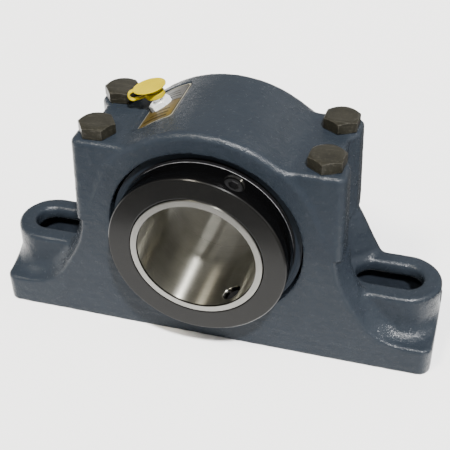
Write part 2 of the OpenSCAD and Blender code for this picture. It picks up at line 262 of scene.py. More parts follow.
def base_side(x, y, z):
    """The base without its flat parting face."""
    ax, ay = np.abs(x), np.abs(y)
    # front and rear lean out a little towards the parting
    lim = 35.0 + 3.1 * np.clip(z, 0, AXIS + 2) / AXIS
    outline = rect2(x, y, 145.85, lim - 0.05, 8.0)
    flange = both(outline, z - 21.0, 2.6)
    dx = ax - np.clip(ax, 60.0, 121.9)
    pad = both(np.hypot(dx, y) - 23.3, z - 50.0, 3.2)
    foot = smin(flange, pad, 13.5)
    # ribs: flush with the face, the outer side slants back, the inner side is round
    back = np.clip((y + 4.0) / 8.0, 0, 1)
    xf = np.interp(z, FZ, FX) * (1 - back) + np.interp(z, FZ, FXR) * back
    rib = smax((ax - xf) * 0.893 + (ay - 36.3) * 0.449, (ax - ay - xf + 14.0) * 0.707, 3.0)
    rib = smax(rib, ax - xf - 6.6, 2.0)
    sx = np.interp(z, [0, 50, AXIS], [90.0, 84.0, 78.2])
    body = smin(ax - sx, rib, 5.0)
    body = smax(body, ay - lim, 2.4)
    k = np.interp(z, [28, 42, 50], [11.0, 7.0, 4.0])
    d = smin(foot, body, k)
    d = smax(d, ay - lim, 0.3)
    d = smax(d, outline, 0.4)
    d = d + 0.13 * ripple(x, y, z)
    d = smax(d, -z, 1.1)
    core = both(rect2(ax - 111.2, y, 26.8, 17.5, 9.0), z - 39.0, 3.0)
    d = smax(d, -core, 2.0)
    sl = ax - 111.75
    slot = np.hypot(sl - np.clip(sl, -10.4, 10.4), y) - 11.1
    d = smax(d, -np.maximum(slot, 25.0 - z), 3.0 + 2.2 * np.clip(y / 9.0, 0, 1))
    d = smax(d, -insert_room(x, y, z), 0.8)
    hole = np.maximum(np.hypot(ax - 71.1, ay - 22.55) - 6.45, 46.0 - z)
    return smax(d, -hole, 0.5)


def base_field(x, y, z):
    return np.maximum(base_side(x, y, z), z - AXIS)


FIT_A, LEAN = math.radians(33.5), math.radians(14.0)
FIT_N = np.array([-math.sin(FIT_A), 0, math.cos(FIT_A)])
FIT = np.array([0, 11.0, AXIS]) + 73.5 * FIT_N
KNEE = FIT + 6.8 * FIT_N


def from_fitting(x, y, z):
    """Height along the fitting's hexagon and distance from its axis."""
    px, py, pz = x - FIT[0], y - FIT[1], z - FIT[2]
    u = FIT_N[0] * px + FIT_N[2] * pz
    return u, np.hypot(FIT_N[2] * px - FIT_N[0] * pz, py)


PLATE_A = math.radians(31.0)


def plate_outline(u, y):
    """Distance from the plate's outline; u runs round the dome to the left."""
    front = (-12.5 - 0.144 * (u + 13.5) - y) * 0.99
    return smax(smax(-13.5 - u, u - 12.9, 2.0), smax(front, y - 29.5, 2.0), 3.0)


def cap_side(x, y, z):
    """The cap without its flat parting face."""
    ax, ay, zz = np.abs(x), np.abs(y), z - AXIS
    rad = np.hypot(x, zz)
    # the ring face spreads where it meets the base
    up = np.clip(zz, 0, 80)
    spread = 7.5 * np.clip(1 - up / 23.0, 0, 1) ** 2
    back = np.clip((y + 4.0) / 8.0, 0, 1)
    e = np.interp(up, [0, 16, 40], [1.4, 3.0, 4.5]) * (1 - back) + back
    dome = both(rad - 75.5 - spread, ay - 38.1, e)
    f = np.clip(zz / (138.5 - AXIS), -0.1, 1.1)
    r = 14.9 - 1.2 * f - back
    wide = 15.6 - 2.2 * f
    col = np.hypot(ax - 71.1, ay - 22.55) - r
    blk = rect2(ax - 36.0, ay - 22.55 - (wide - 8.0) / 2, 35.1 + r, (wide + 8.0) / 2, 5.8)
    mid = np.maximum(np.maximum(36.0 - ax, ax - 78.2), ay - 22.55)
    plan = smin(np.minimum(col, blk), mid, 4.0)
    boss = both(plan, z - 140.5, 3.2)
    kf = np.interp(up, [0, 25, 45], [1.0, 1.6, 4.5])
    k = 6.0 + (kf - 6.0) * np.clip((ay - 27.0) / 7.5, 0, 1)
    d = np.maximum(smin(dome, boss, k), ay - 38.05)
    d = d + 0.13 * ripple(x, y, z)
    d = smax(d, -insert_room(x, y, z), 0.8)
    turn = (np.arctan2(-x, zz) - PLATE_A) * 75.1
    rec = np.maximum(plate_outline(turn, y) - 0.8, 74.2 - rad)
    d = smax(d, -rec, 0.7)
    u, w = from_fitting(x, y, z)
    d = smax(d, -np.maximum(w - 8.2, -0.05 - u), 0.4)
    d = smax(d, -np.maximum(w - 4.9, -20.0 - u), 0.4)
    d = smax(d, -np.maximum(np.hypot(ax - 71.1, ay - 22.55) - 6.75, 70.0 - z), 0.5)
    return d


def cap_field(x, y, z):
    return np.maximum(cap_side(x, y, z), AXIS - z)


def field_mesh(name, fn, lo, hi, h, flat=None):
    """Closed quad mesh of the zero level of a distance field (surface nets).
    flat = (z, field without the cut at z) keeps the edge of that plane sharp."""
    if flat:
        lo = (lo[0], lo[1], flat[0] - (math.ceil((flat[0] - lo[2]) / h) + 0.5) * h)
    ax = [np.arange(l, u + h, h) for l, u in zip(lo, hi)]
    vol = fn(*np.meshgrid(*ax, indexing="ij"))
    nx, ny, nz = vol.shape
    neg = vol < 0
    count = np.zeros((nx - 1, ny - 1, nz - 1), np.int8)
    for i in (0, 1):
        for j in (0, 1):
            for k in (0, 1):
                count += neg[i:nx - 1 + i, j:ny - 1 + j, k:nz - 1 + k]
    mixed = (count > 0) & (count < 8)
    ids = np.full(mixed.shape, -1, np.int64)
    cells = np.argwhere(mixed)
    ids[mixed] = np.arange(len(cells))
    pos, num = np.zeros((len(cells), 3)), np.zeros(len(cells))
    for axis in range(3):
        e = np.eye(3, dtype=int)[axis]
        others = [o for o in range(3) if o != axis]
        for i in (0, 1):
            for j in (0, 1):
                a = np.zeros(3, int)
                a[others[0]], a[others[1]] = i, j
                va = vol[tuple((cells + a).T)]
                vb = vol[tuple((cells + a + e).T)]
                hit = (va < 0) != (vb < 0)
                t = np.where(hit, va / np.where(hit, va - vb, 1), 0)
                p = a[None, :] + t[:, None] * e[None, :]
                pos[hit] += p[hit]
                num[hit] += 1
    v = np.array(lo) + (cells + pos / num[:, None]) * h
    quads = []
    for axis in range(3):
        o1, o2 = (axis + 1) % 3, (axis + 2) % 3
        sl_a = [slice(1, -1)] * 3
        sl_a[axis] = slice(0, -1)
        sl_b = list(sl_a)
        sl_b[axis] = slice(1, None)
        na, nb = neg[tuple(sl_a)], neg[tuple(sl_b)]
        at = np.argwhere(na != nb)
        off = np.ones(3, int)
        off[axis] = 0
        g = at + off
        e1, e2 = np.eye(3, dtype=int)[o1], np.eye(3, dtype=int)[o2]
        c = [ids[tuple((g - e1 - e2).T)], ids[tuple((g - e2).T)], ids[tuple(g.T)], ids[tuple((g - e1).T)]]
        q = np.stack(c, 1)
        flip = ~na[tuple(at.T)]
        q[flip] = q[flip][:, ::-1]
        quads.append(q)
    quads = np.concatenate(quads)
    eps = 0.2 * h
    for _ in range(3):
        d = fn(*v.T)
        g = np.stack([fn(*(v + eps * np.eye(3)[i]).T) - fn(*(v - eps * np.eye(3)[i]).T) for i in range(3)], 1) / (2 * eps)
        n2 = np.maximum((g * g).sum(1), 0.05)
        v = v - np.clip(d / n2, -0.5 * h, 0.5 * h)[:, None] * g
    if flat:
        z0, side = flat
        layer = np.flatnonzero(cells[:, 2] == int((z0 - lo[2]) / h))
        sign = [side(lo[0] + (cells[layer, 0] + i) * h, lo[1] + (cells[layer, 1] + j) * h, np.full(len(layer), z0)) < 0
                for i in (0, 1) for j in (0, 1)]
        v[layer, 2] = z0
        edge = layer[(sum(q.astype(int) for q in sign) % 4) != 0]
        w = v[edge]
        for _ in range(6):
            d = side(*w.T)
            g = np.stack([side(*(w + eps * np.eye(3)[i]).T) - side(*(w - eps * np.eye(3)[i]).T) for i in (0, 1)], 1) / (2 * eps)
            n2 = np.maximum((g * g).sum(1), 0.05)
            w[:, :2] -= np.clip(d / n2, -0.5 * h, 0.5 * h)[:, None] * g
        v[edge] = w
    return quad_object(name, v, quads)


# ------------------------------------------------------------------- materials
class Nodes:
    """Small helper that adds and links shader nodes."""

    def __init__(self, name):
        self.mat = bpy.data.materials.new(name)
        self.mat.use_nodes = True
        self.t = self.mat.node_tree
        self.bsdf = self.t.nodes["Principled BSDF"]
        self.coord = self.t.nodes.new("ShaderNodeTexCoord").outputs["Object"]

    def node(self, kind, **inputs):
        n = self.t.nodes.new(kind)
        for k, v in inputs.items():
            key = k.replace("_", " ")
            if hasattr(v, "is_output"):
                self.t.links.new(v, n.inputs[key])
            else:
                n.inputs[key].default_value = v
        return n

    def noise(self, scale, detail=4.0, rough=0.55, vector=None):
        n = self.node("ShaderNodeTexNoise", Scale=scale, Detail=detail, Roughness=rough)
        self.t.links.new(vector or self.coord, n.inputs["Vector"])
        return n.outputs["Fac"]

    def ramp(self, fac, stops):
        r = self.t.nodes.new("ShaderNodeValToRGB")
        self.t.links.new(fac, r.inputs["Fac"])
        e = r.color_ramp.elements
        while len(e) < len(stops):
            e.new(0.5)
        for el, (p, c) in zip(e, stops):
            el.position = p
            el.color = (*c, 1) if len(c) == 3 else c
        return r.outputs["Color"]

    def remap(self, fac, lo, hi, a=0.0, b=1.0):
        m = self.t.nodes.new("ShaderNodeMapRange")
        self.t.links.new(fac, m.inputs["Value"])
        for k, v in (("From Min", a), ("From Max", b), ("To Min", lo), ("To Max", hi)):
            m.inputs[k].default_value = v
        return m.outputs["Result"]

    def math(self, op, a, b=0.0):
        m = self.t.nodes.new("ShaderNodeMath")
        m.operation = op
        for i, v in enumerate((a, b)):
            if hasattr(v, "is_output"):
                self.t.links.new(v, m.inputs[i])
            else:
                m.inputs[i].default_value = v
        return m.outputs[0]

    def mix(self, fac, a, b, mode="MIX"):
        m = self.t.nodes.new("ShaderNodeMix")
        m.data_type = "RGBA"
        m.blend_type = mode
        for sock, v in ((m.inputs[0], fac), (m.inputs[6], a), (m.inputs[7], b)):
            if hasattr(v, "is_output"):
                self.t.links.new(v, sock)
            else:
                sock.default_value = v if not isinstance(v, tuple) or len(v) == 4 else (*v, 1)
        return m.outputs[2]

    def bump(self, height, strength, distance, normal=None):
        b = self.node("ShaderNodeBump", Strength=strength, Distance=distance)
        self.t.links.new(height, b.inputs["Height"])
        if normal is not None:
            self.t.links.new(normal, b.inputs["Normal"])
        return b.outputs["Normal"]

    def radius(self):
        """Distance from the shaft axis and place along it, in metres."""
        s = self.t.nodes.new("ShaderNodeSeparateXYZ")
        self.t.links.new(self.coord, s.inputs[0])
        z = self.math("SUBTRACT", s.outputs["Z"], AXIS * MM)
        x2 = self.math("MULTIPLY", s.outputs["X"], s.outputs["X"])
        z2 = self.math("MULTIPLY", z, z)
        return self.math("SQRT", self.math("ADD", x2, z2)), s.outputs["Y"], s.outputs["X"], z

    def set(self, **kw):
        for k, v in kw.items():
            key = k.replace("_", " ")
            if hasattr(v, "is_output"):
                self.t.links.new(v, self.bsdf.inputs[key])
            else:
                self.bsdf.inputs[key].default_value = v
        return self.mat


def paint_material():
    n = Nodes("slate_paint")
    big = n.noise(28.0, 4.0, 0.6)
    mid = n.noise(260.0, 4.0, 0.6)
    fine = n.noise(1150.0, 2.0, 0.6)
    base = n.ramp(big, [(0.3, (0.0106, 0.0140, 0.0190)), (0.7, (0.0137, 0.0177, 0.0233))])
    base = n.mix(n.remap(mid, 0.0, 0.3, 0.4, 0.75), base, (0.020, 0.0235, 0.0285))
    base = n.mix(n.remap(fine, 0.0, 0.25, 0.58, 0.8), base, (0.0042, 0.0053, 0.0068))
    # painted fill light: inside the hollows under the feet the base is one plain, paler tone, standing in for light
    # that hardly reaches there
    px = n.t.nodes.new("ShaderNodeSeparateXYZ")
    n.t.links.new(n.coord, px.inputs[0])
    hollow_fill = n.math("MULTIPLY", n.remap(n.math("ABSOLUTE", px.outputs["Y"]), 1.0, 0.0, 0.0178, 0.0182), n.remap(px.outputs["Z"], 1.0, 0.0, 0.0385, 0.0400))
    px = n.math("ABSOLUTE", px.outputs["X"])
    hollow_fill = n.math("MULTIPLY", hollow_fill, n.remap(px, 0.0, 1.0, 0.0835, 0.0842))
    hollow_fill = n.math("MULTIPLY", hollow_fill, n.remap(px, 1.0, 0.0, 0.1384, 0.1390))
    base = n.mix(hollow_fill, base, (0.013, 0.0165, 0.022))
    rough = n.remap(mid, 0.19, 0.29, 0.3, 0.7)
    # the flat sides and tops are duller than the rounded edges
    geo = n.t.nodes.new("ShaderNodeNewGeometry")
    nv = n.t.nodes.new("ShaderNodeSeparateXYZ")
    n.t.links.new(geo.outputs["Normal"], nv.inputs[0])
    flat = n.math("MAXIMUM", n.math("ABSOLUTE", nv.outputs["Y"]), n.math("ABSOLUTE", nv.outputs["X"]))
    flat = n.math("MAXIMUM", flat, n.math("MULTIPLY", nv.outputs["Z"], 0.97))
    gloss = n.remap(flat, 0.20, 0.085, 0.80, 0.97)
    nrm = n.bump(mid, 0.45, 0.0010)
    nrm = n.bump(fine, 0.62, 0.0005, nrm)
    return n.set(Base_Color=base, Roughness=rough, Normal=nrm, Metallic=0.0, Specular_IOR_Level=gloss)


def oxide_material():
    n = Nodes("brown_oxide")
    big = n.noise(90.0, 4.0, 0.6)
    fine = n.noise(700.0, 3.0, 0.6)
    base = n.ramp(big, [(0.3, (0.0098, 0.0092, 0.0066)), (0.7, (0.0172, 0.0161, 0.0117))])
    base = n.mix(n.remap(fine, 0.0, 0.5, 0.55, 0.8), base, (0.062, 0.057, 0.042))
    # long scratches
    for turn, lot in ((0.5, 0.62), (1.9, 0.64)):
        m = n.node("ShaderNodeMapping", Rotation=(0.0, 0.0, turn), Scale=(60.0, 1500.0, 900.0))
        n.t.links.new(n.coord, m.inputs["Vector"])
        base = n.mix(n.remap(n.noise(1.0, 2.0, 0.5, m.outputs[0]), 0.0, 0.35, lot, lot + 0.1), base, (0.070, 0.066, 0.054))
    # edges a little brighter: edge wear, and a painted highlight along the edges
    bev = n.node("ShaderNodeBevel", Radius=0.0006)
    geo = n.t.nodes.new("ShaderNodeNewGeometry")
    dot = n.t.nodes.new("ShaderNodeVectorMath")
    dot.operation = "DOT_PRODUCT"
    n.t.links.new(bev.outputs[0], dot.inputs[0])
    n.t.links.new(geo.outputs["Normal"], dot.inputs[1])
    bright_edge = n.math("MULTIPLY", n.remap(dot.outputs["Value"], 0.8, 0.0, 0.90, 0.99), n.remap(fine, 0.2, 1.0, 0.35, 0.6))
    base = n.mix(bright_edge, base, (0.075, 0.070, 0.058))
    return n.set(Base_Color=base, Roughness=n.remap(fine, 0.30, 0.44, 0.3, 0.7), Metallic=0.2,
                 Normal=n.bump(fine, 0.22, 0.0004), Specular_IOR_Level=0.17)


def collar_material():
    """Black turned steel: fine turning rings on the flat face; the rim gets a darker base than the face (painted
    shade) and a lower specular level.
    """
    n = Nodes("black_turned")
    rad, y, x, z = n.radius()
    vec = n.node("ShaderNodeCombineXYZ")
    n.t.links.new(rad, vec.inputs["X"])
    n.t.links.new(n.math("MULTIPLY", y, 0.35), vec.inputs["Y"])
    rings = n.noise(1600.0, 3.0, 0.7, vec.outputs[0])
    blotch = n.noise(45.0, 4.0, 0.6)
    base = n.ramp(blotch, [(0.3, (0.0037, 0.0037, 0.0037)), (0.75, (0.0054, 0.0053, 0.0050))])
    base = n.mix(n.remap(rings, 0.0, 0.4, 0.5, 0.8), base, (0.0085, 0.0083, 0.0078))
    # painted shade: the rim (outer diameter and outer edge) gets a darker base than the face of the same steel
    rim = n.remap(rad, 0.0, 1.0, 0.0560, 0.0564)
    base = n.mix(rim, base, (0.0012, 0.0012, 0.0013))
    return n.set(Base_Color=base, Roughness=n.remap(blotch, 0.16, 0.21, 0.3, 0.7), Metallic=0.0,
                 Normal=n.bump(rings, 0.015, 0.0003), Specular_IOR_Level=n.remap(rim, 0.19, 0.04))


def ground_material():
    """Ground bearing steel: pale satin end faces, a brighter ground bore whose
    grinding lines run round the axis."""
    n = Nodes("ground_steel")
    rad, y, x, z = n.radius()
    vec = n.node("ShaderNodeCombineXYZ")
    n.t.links.new(rad, vec.inputs["X"])
    n.t.links.new(y, vec.inputs["Y"])
    rings = n.noise(1900.0, 3.0, 0.7, vec.outputs[0])
    cloud = n.noise(60.0, 3.0, 0.5)
    bore = n.remap(n.math("ABSOLUTE", y), 1.0, 0.0, 0.05555, 0.05575)
    # painted shade: a dark band at each end of the bore, along its chamfer
    edge = n.math("MULTIPLY", n.remap(rad, 1.0, 0.0, 0.0377, 0.0379), n.remap(n.math("ABSOLUTE", y), 0.0, 1.0, 0.0550, 0.0553))
    face = n.ramp(cloud, [(0.3, (0.235, 0.232, 0.216)), (0.7, (0.28, 0.277, 0.26))])
    wall = n.ramp(cloud, [(0.3, (0.22, 0.214, 0.184)), (0.7, (0.29, 0.283, 0.246))])
    base = n.mix(bore, face, wall)
    base = n.mix(n.remap(rings, 0.0, 0.3, 0.45, 0.8), base, (0.10, 0.097, 0.088))
    base = n.mix(edge, base, (0.02, 0.019, 0.017))
    # painted shade: the set-screw hole walls, and the ring's hidden outer surfaces, are darkened
    hole = n.math("MULTIPLY", n.remap(rad, 0.0, 1.0, 0.03745, 0.0377), n.remap(n.math("ABSOLUTE", y), 1.0, 0.0, 0.0546, 0.0549))
    base = n.mix(hole, base, (0.012, 0.0115, 0.0105))
    rough = n.math("ADD", n.remap(rings, 0.0, 0.06, 0.3, 0.7), n.remap(bore, 0.40, 0.27))
    tan = n.t.nodes.new("ShaderNodeTangent")
    tan.direction_type = "RADIAL"
    tan.axis = "Y"
    return n.set(Base_Color=base, Roughness=rough, Metallic=1.0, Anisotropic=n.remap(bore, 0.2, 1.0), Anisotropic_Rotation=0.25,
                 Tangent=tan.outputs["Tangent"], Normal=n.bump(rings, 0.025, 0.0002))


def plain_metal(name, c0, c1, r0, r1, scale=300.0, metallic=1.0, bump=0.06, spec=0.5):
    n = Nodes(name)
    big = n.noise(scale * 0.2, 3.0, 0.5)
    fine = n.noise(scale, 4.0, 0.6)
    return n.set(Base_Color=n.ramp(big, [(0.3, c0), (0.7, c1)]), Roughness=n.remap(fine, r0, r1, 0.3, 0.7),
                 Metallic=metallic, Normal=n.bump(fine, bump, 0.0003), Specular_IOR_Level=spec)


def flinger_material():
    """Black paint, brighter on the two edges of the rim: edge wear, and a painted highlight along those edges."""
    n = Nodes("black_flinger")
    rad, y, x, z = n.radius()
    y = n.math("ABSOLUTE", y)
    fine = n.noise(300.0, 4.0, 0.6)
    base = n.ramp(n.noise(60.0, 3.0, 0.5), [(0.3, (0.003, 0.003, 0.0034)), (0.7, (0.006, 0.006, 0.0068))])
    rim = n.remap(rad, 0.0, 1.0, 0.05578, 0.05590)
    ends = n.math("MAXIMUM", n.remap(y, 0.0, 1.0, 0.03668, 0.03674), n.remap(y, 1.0, 0.0, 0.03390, 0.03396))
    bright_edge = n.math("MULTIPLY", n.math("MULTIPLY", rim, ends), n.remap(fine, 0.3, 1.0, 0.35, 0.6))
    base = n.mix(bright_edge, base, (0.16, 0.16, 0.165))
    return n.set(Base_Color=base, Roughness=n.remap(fine, 0.4, 0.55, 0.3, 0.7), Metallic=0.0,
                 Normal=n.bump(fine, 0.06, 0.0003), Specular_IOR_Level=0.1)


def plastic_material(name, c0, c1, r0, r1, spec=0.5):
    n = Nodes(name)
    big = n.noise(80.0, 3.0, 0.5)
    fine = n.noise(1400.0, 2.0, 0.5)
    return n.set(Base_Color=n.ramp(big, [(0.3, c0), (0.7, c1)]), Roughness=n.remap(fine, r0, r1, 0.3, 0.7),
                 Normal=n.bump(fine, 0.08, 0.0002), Specular_IOR_Level=spec)


def seal_material():
    """Black rubber with some of the housing's paint on its outer rim."""
    n = Nodes("seal_rubber")
    rad = n.radius()[0]
    fine = n.noise(900.0, 3.0, 0.6)
    base = n.ramp(n.noise(80.0, 3.0, 0.5), [(0.3, (0.0028, 0.0028, 0.0029)), (0.7, (0.0050, 0.0050, 0.0052))])
    spray = n.math("ADD", rad, n.remap(fine, -0.0004, 0.0004))
    base = n.mix(n.remap(spray, 0.0, 1.0, 0.0562, 0.0570), base, (0.0105, 0.0140, 0.0192))
    return n.set(Base_Color=base, Roughness=n.remap(fine, 0.5, 0.65), Normal=n.bump(fine, 0.08, 0.0002), Specular_IOR_Level=0.07)


M_PAINT = paint_material()
M_OXIDE = oxide_material()
M_COLLAR = collar_material()
M_GROUND = ground_material()
M_ZINC = plain_metal("bright_zinc", (0.74, 0.77, 0.80), (0.86, 0.88, 0.90), 0.16, 0.3, metallic=0.45)
M_SCREW = plain_metal("black_screw", (0.005, 0.005, 0.0053), (0.010, 0.010, 0.0105), 0.4, 0.5, metallic=0.0, spec=0.15)
M_FLING = flinger_material()
M_RACE = plain_metal("race_steel", (0.5, 0.5, 0.51), (0.62, 0.62, 0.63), 0.2, 0.32)
M_CARRIER = plain_metal("painted_carrier", (0.0090, 0.0122, 0.0170), (0.0125, 0.0164, 0.0222), 0.35, 0.45, metallic=0.0, spec=0.07)
M_CAGE = plain_metal("pressed_steel", (0.38, 0.36, 0.33), (0.5, 0.48, 0.45), 0.3, 0.45)
M_RUBBER = seal_material()
M_YELLOW = plastic_material("yellow_plastic", (0.32, 0.246, 0.0), (0.37, 0.284, 0.0), 0.42, 0.55, spec=0.1)
M_SILVER = plain_metal("plate_silver", (0.15, 0.15, 0.145), (0.24, 0.24, 0.232), 0.3, 0.42, scale=500.0)
M_EDGE = plain_metal("plate_edge", (0.26, 0.245, 0.19), (0.34, 0.32, 0.25), 0.3, 0.42, scale=500.0, metallic=0.3)
M_GOLD = plain_metal("plate_gold", (0.050, 0.033, 0.006), (0.098, 0.066, 0.012), 0.32, 0.45, scale=500.0, metallic=0.2, spec=0.2)
M_INK = plain_metal("plate_ink", (0.003, 0.0026, 0.002), (0.006, 0.005, 0.004), 0.4, 0.5, scale=500.0, metallic=0.0, spec=0.08)


def finish_piece(ob, mat, body, slot, *cad):
    if mat is not None:
        ob.data.materials.clear()
        ob.data.materials.append(mat)
    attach(ob, body)
    if cad:
        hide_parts(*cad)
    return ob


# -------------------------------------------------------------------- castings
base = field_mesh("base_casting", base_field, (-148.2, -39.6, -2.4), (148.2, 39.6, 84.6), 1.2, (AXIS, base_side))
sharpen(base, 55.0)
finish_piece(base, M_PAINT, "housing", "housing", "housing_base")
cap = field_mesh("cap_casting", cap_field, (-88.8, -40.5, 80.2), (88.8, 40.5, 160.2), 0.96, (AXIS, cap_side))
sharpen(cap, 55.0)
finish_piece(cap, M_PAINT, "housing", "housing", "housing_cap")


# ------------------------------------------------------------------- cap bolts
def bolt(name):
    af, top, hh = 10.4, 9.9, 7.9
    n = 96
    a = np.arange(n) * 2 * math.pi / n
    hexr = af / np.cos(a % (math.pi / 3) - math.pi / 6)
    zc = hh - (hexr - top) * 0.55
    rings = [
        (np.full(n, 6.35 - 1.2), np.full(n, -87.2)), (np.full(n, 6.35), np.full(n, -85.9)),
        (np.full(n, 6.35), np.full(n, -0.05)), (np.full(n, af - 0.3), np.full(n, 0.0)),
        (np.full(n, af - 0.3), np.full(n, 0.5)), (hexr - 0.15, np.full(n, 0.5)), (hexr, np.full(n, 0.75)),
        (hexr, zc - 0.25), (hexr - 0.22, zc + 0.1), (np.full(n, top + 0.05), np.full(n, hh - 0.12)),
        (np.full(n, top - 0.3), np.full(n, hh)), (np.full(n, 6.0), np.full(n, hh - 0.06)),
    ]
    v = [(0, 0, -87.2)]
    for r, z in rings:
        v += list(zip(r * np.cos(a), r * np.sin(a), z))
    v.append((0, 0, hh - 0.08))
    f = []
    for i in range(len(rings) - 1):
        for k in range(n):
            l = (k + 1) % n
            f.append((1 + i * n + k, 1 + i * n + l, 1 + (i + 1) * n + l, 1 + (i + 1) * n + k))
    last = 1 + (len(rings) - 1) * n
    for k in range(n):
        l = (k + 1) % n
        f.append((0, 1 + l, 1 + k))
        f.append((last + k, last + l, len(v) - 1))
    ob = new_object(name, v, f)
    fix_normals(ob)
    return ob


bolts = []
for i, (sx, sy, rot) in enumerate([(1, -1, 26.0), (1, 1, 29.0), (-1, -1, 4.0), (-1, 1, 6.0)]):
    b = bolt(f"bolt_{i}")
    bolts.append(place(b, Matrix.Translation((sx * 71.1, sy * 22.55, 140.5)) @ Matrix.Rotation(math.radians(rot), 4, "Z")))
bolts = sharpen(join("cap_bolt_set", bolts), 28.0)
finish_piece(bolts, M_OXIDE, "housing", "bolt_oxide", "cap_bolts")


# ---------------------------------------------------- rotor: ring, collars, screws
SCREWS = [23.2, 148.2]


def radial_matrix(y, ang):
    return Matrix.Translation((0, y, AXIS)) @ Matrix.Rotation(math.radians(ang), 4, "Y")


def hole_cutter(y, ang, prof):
    return place(spin_z("cutter", prof, 64), radial_matrix(y, ang))


R1, R2, YE = 37.306, 41.68, 56.2
prof = []
for s in (-1, 1):
    seg = [(R1, s * (YE - 0.55)), (R1 + 0.16, s * (YE - 0.16)), (R1 + 0.55, s * YE),
           (R1 + 0.75, s * YE), (R2 - 0.7, s * YE), (R2 - 0.5, s * YE), (R2 - 0.14, s * (YE - 0.14)), (R2, s * (YE - 0.5)),
           (R2, s * 26.9), (41.78, s * 26.8), (45.14, s * 4.5), (50.0, s * 4.4)]
    prof += seg if s < 0 else seg[::-1]
ring = lathe("inner_ring_turned", prof, 256)
ring_cut = [(0, 30), (5.6, 30), (6.6, 36.9), (5.6, 38.1), (5.6, 48), (0, 48)]
ring = cut(ring, [hole_cutter(y, a, ring_cut) for y in (-45.4, 45.4) for a in SCREWS])
sharpen(ring, 30.0)
finish_piece(ring, M_GROUND, "rotor", "ground_steel", "inner_ring")

for s, side in ((-1, "front"), (1, "rear")):
    q = lambda r, y: (r, s * y)
    prof = [q(42.1, 37.2), q(42.1, 54.9), q(42.35, 55.4), q(42.9, 55.7),
            q(43.15, 55.7), q(54.8, 55.7), q(55.0, 55.7), q(55.7, 55.55), q(56.35, 54.9), q(56.5, 54.2),
            q(56.5, 38.0), q(56.3, 37.4), q(55.9, 37.2)]
    c = lathe(f"{side}_collar_turned", prof, 256)
    collar_cut = [(0, 39), (6.05, 39), (6.05, 55.2), (7.2, 56.6), (7.2, 62), (0, 62)]
    c = cut(c, [hole_cutter(s * 45.4, a, collar_cut) for a in SCREWS])
    sharpen(c, 30.0)
    finish_piece(c, M_COLLAR, "rotor", "collar_black", f"{side}_collar")

    screws = []
    for i, a in enumerate(SCREWS):
        # threaded shank, socket and dog point
        pr = [(0, 39.6), (4.7, 39.6), (5.2, 40.1), (5.2, 42.3)]
        z = 42.6
        while z < 52.6:
            pr += [(5.35, z), (5.95, z + 0.55), (5.95, z + 0.75)]
            z += 1.3
        pr += [(5.35, z), (5.95, z + 0.5), (5.95, 53.9), (5.2, 54.6), (0, 54.6)]
        sc = spin_z("screw", pr, 48)
        socket = spin_z("socket", [(0, 48.0), (3.0, 48.0), (3.0, 54.2), (3.45, 54.8), (3.45, 60), (0, 60)], 48, hexes=(1, 2, 3, 4))
        sc = cut(sc, [socket])
        screws.append(place(sc, radial_matrix(s * 45.4, a)))
    sc = sharpen(join(f"{side}_screw_pair", screws), 28.0)
    finish_piece(sc, M_SCREW, "rotor", "screw_black", f"{side}_set_screws")

    fl = lathe(f"{side}_flinger_ring", [q(41.72, 37.1), q(41.72, 34.6), q(43.0, 34.6), q(43.0, 35.9), q(54.5, 35.9), q(54.8, 35.6),
                                        q(54.8, 33.9), q(55.0, 33.7), q(56.0, 33.7), q(56.2, 33.9), q(56.2, 36.7), q(55.8, 37.1)], 192)
    sharpen(fl, 40.0)
    finish_piece(fl, M_FLING, "rotor", "flinger_black", f"{side}_flinger")

    se = lathe(f"{side}_lip_seal", [q(58.75, 32.9), q(58.75, 29.3), q(57.2, 29.3), q(57.2, 31.2), q(56.9, 31.5), q(45.8, 31.5),
                                    q(43.7, 29.7), q(42.5, 29.8), q(42.1, 30.0), q(42.0, 30.4), q(42.9, 32.2), q(43.4, 32.9)], 192)
    sharpen(se, 40.0)
    finish_piece(se, M_RUBBER, "insert", "seal_rubber", f"{side}_seal")


# ------------------------------------------------------- grease fitting and cap
HEX_M = Matrix.Translation(Vector(FIT)) @ Matrix.Rotation(-FIT_A, 4, "Y")
NIP_M = Matrix.Translation(Vector(KNEE)) @ Matrix.Rotation(-LEAN, 4, "Y")


def hexagon(name):
    """Chamfered hexagon with its thread and the stub that runs into the bend."""
    n, af = 96, 7.7 * math.cos(math.pi / 6)
    a = np.arange(n) * 2 * math.pi / n
    hr = af / np.cos(a % (math.pi / 3) - math.pi / 6)
    zc = 4.9 - (hr - af + 0.25) * 0.62
    c = lambda r: np.full(n, r)
    seat = np.maximum(hr, 7.2)
    rings = [(c(4.3), c(-8.0)), (c(4.8), c(-7.5)), (c(4.8), c(-0.02)), (seat - 0.2, c(0.0)), (seat, c(0.2)), (seat, c(0.5)),
             (hr, c(0.62)), (hr, zc - 0.2),
             (hr - 0.2, zc + 0.08), (c(af - 0.25), c(4.86)), (c(af - 0.6), c(4.9)), (c(3.5), c(4.9)), (c(3.1), c(5.2)), (c(3.05), c(6.8))]
    v = [(0, 0, -8.0)]
    for r, z in rings:
        v += list(zip(r * np.cos(a), r * np.sin(a), z))
    v.append((0, 0, 6.8))
    f = []
    for i in range(len(rings) - 1):
        for k in range(n):
            l = (k + 1) % n
            f.append((1 + i * n + k, 1 + i * n + l, 1 + (i + 1) * n + l, 1 + (i + 1) * n + k))
    last = 1 + (len(rings) - 1) * n
    for k in range(n):
        l = (k + 1) % n
        f.append((0, 1 + l, 1 + k))
        f.append((last + k, last + l, len(v) - 1))
    ob = new_object(name, v, f)
    fix_normals(ob)
    return ob


